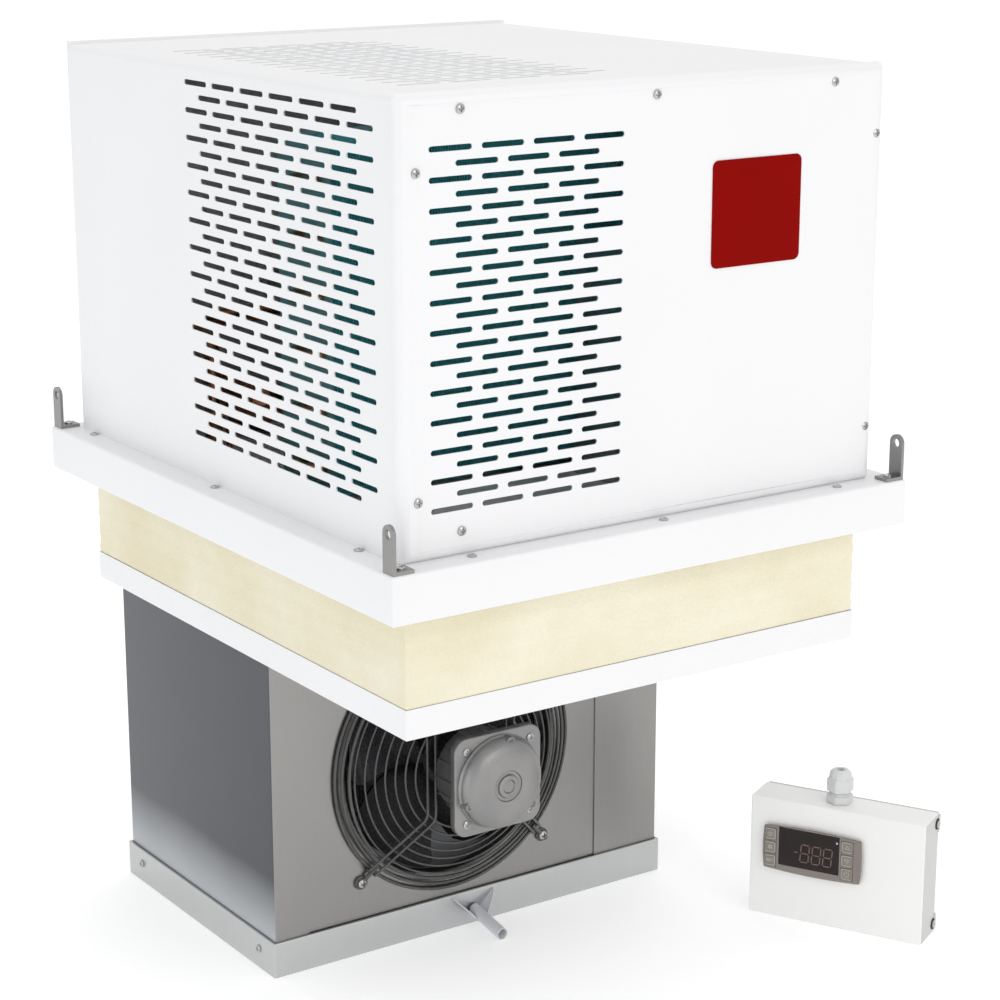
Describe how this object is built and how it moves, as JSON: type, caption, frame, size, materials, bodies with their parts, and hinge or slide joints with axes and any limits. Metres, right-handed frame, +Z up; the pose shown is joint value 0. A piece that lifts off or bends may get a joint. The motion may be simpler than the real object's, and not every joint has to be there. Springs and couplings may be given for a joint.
{
  "type": "ceiling refrigeration unit",
  "caption": "Packaged cooling unit that drops through a cold room's ceiling, with slotted housing above, insulated plug, fan and coil below, and a remote control box.",
  "frame": {"origin": "centre of the drip tray's flat base", "axes": "+Z up; -Y is the side the evaporator fan blows to; +X to the right seen from that side"},
  "size_m": [0.6399, 0.638, 0.854],
  "materials": {
    "casing_paint": "fine satin powder coat",
    "plate_paint": "smooth satin white",
    "foam": "matt closed-cell foam",
    "duct_plastic": "matt",
    "box_aluminium": "rolled satin",
    "fin_aluminium": "thin bright sheet",
    "copper": "drawn tube, lightly dulled",
    "guard_black": "satin black coat",
    "fan_black": "glossy",
    "motor_cast": "die-cast, matt",
    "screw_steel": "zinc plated",
    "heater_steel": "dull",
    "compressor_black": "semi-gloss black",
    "rubber": "matt",
    "galvanised": "spangled zinc",
    "terminal_plastic": "matt",
    "badge_red": "smooth film",
    "gland_grey": "matt",
    "control_paint": "fine satin powder coat",
    "facia_grey": "fine matt",
    "window_dark": "glossy",
    "key_grey": "fine matt"
  },
  "bodies": {
    "unit": {"hood": "casing_paint", "front_panel": "casing_paint", "rear_panel": "casing_paint", "base_frame": "casing_paint", "insulation_plug": "foam", "plug_plate": "plate_paint", "pipe_duct": "duct_plastic", "evaporator_side_left": "box_aluminium", "evaporator_side_right": "box_aluminium", "fan_panel": "box_aluminium", "fan_guard": "guard_black", "fan_motor": "motor_cast", "motor_screws": "screw_steel", "evaporator_fins": "fin_aluminium", "evaporator_tubes": "copper", "evaporator_end_plates": "galvanised", "drip_tray": "box_aluminium", "drain_spout": "box_aluminium", "tray_screws": "screw_steel", "defrost_heater": "heater_steel", "compressor_shell": "compressor_black", "compressor_base": "compressor_black", "compressor_grommets": "rubber", "terminal_cover": "terminal_plastic", "condenser_fins": "fin_aluminium", "condenser_tubes": "copper", "condenser_end_plates": "galvanised", "condenser_shroud": "galvanised", "condenser_motor": "compressor_black", "motor_bracket": "galvanised", "filter_drier": "copper", "capillary_tube": "copper", "suction_pipe": "copper", "discharge_pipe": "copper", "liquid_pipe": "copper", "electrical_box": "galvanised", "electrical_cover": "galvanised", "power_gland": "gland_grey", "lifting_lug_front_left": "screw_steel", "lifting_lug_front_right": "screw_steel", "lifting_lug_rear_left": "screw_steel", "lifting_lug_rear_right": "screw_steel", "panel_screws": "screw_steel", "flange_screws": "screw_steel", "badge_plate": "badge_red", "control_back": "control_paint", "control_cover": "control_paint", "control_screws": "screw_steel", "controller_facia": "facia_grey", "display_window": "window_dark", "control_gland": "gland_grey"},
    "evaporator_fan": {"evaporator_fan": "fan_black"},
    "condenser_fan": {"condenser_fan": "fan_black"},
    "key_lamp": {"key_lamp": "key_grey"},
    "key_defrost": {"key_defrost": "key_grey"},
    "key_set": {"key_set": "key_grey"},
    "key_up": {"key_up": "key_grey"},
    "key_down": {"key_down": "key_grey"},
    "key_power": {"key_power": "key_grey"}
  },
  "joints": [
    {"name": "evaporator_fan_spin", "type": "hinge", "parent": "unit", "child": "evaporator_fan", "pos_m": [-0.025, -0.1348, 0.179], "axis": [0, 1, 0], "continuous": true},
    {"name": "condenser_fan_spin", "type": "hinge", "parent": "unit", "child": "condenser_fan", "pos_m": [0, -0.134, 0.6345], "axis": [0, 1, 0], "continuous": true},
    {"name": "key_lamp_press", "type": "slide", "parent": "unit", "child": "key_lamp", "axis": [0.8829, 0.4695, 0], "range_m": [0, 0.0005], "stiffness_N_per_m": 800},
    {"name": "key_defrost_press", "type": "slide", "parent": "unit", "child": "key_defrost", "axis": [0.8829, 0.4695, 0], "range_m": [0, 0.0005], "stiffness_N_per_m": 800},
    {"name": "key_set_press", "type": "slide", "parent": "unit", "child": "key_set", "axis": [0.8829, 0.4695, 0], "range_m": [0, 0.0005], "stiffness_N_per_m": 800},
    {"name": "key_up_press", "type": "slide", "parent": "unit", "child": "key_up", "axis": [0.8829, 0.4695, 0], "range_m": [0, 0.0005], "stiffness_N_per_m": 800},
    {"name": "key_down_press", "type": "slide", "parent": "unit", "child": "key_down", "axis": [0.8829, 0.4695, 0], "range_m": [0, 0.0005], "stiffness_N_per_m": 800},
    {"name": "key_power_press", "type": "slide", "parent": "unit", "child": "key_power", "axis": [0.8829, 0.4695, 0], "range_m": [0, 0.0005], "stiffness_N_per_m": 800}
  ]
}
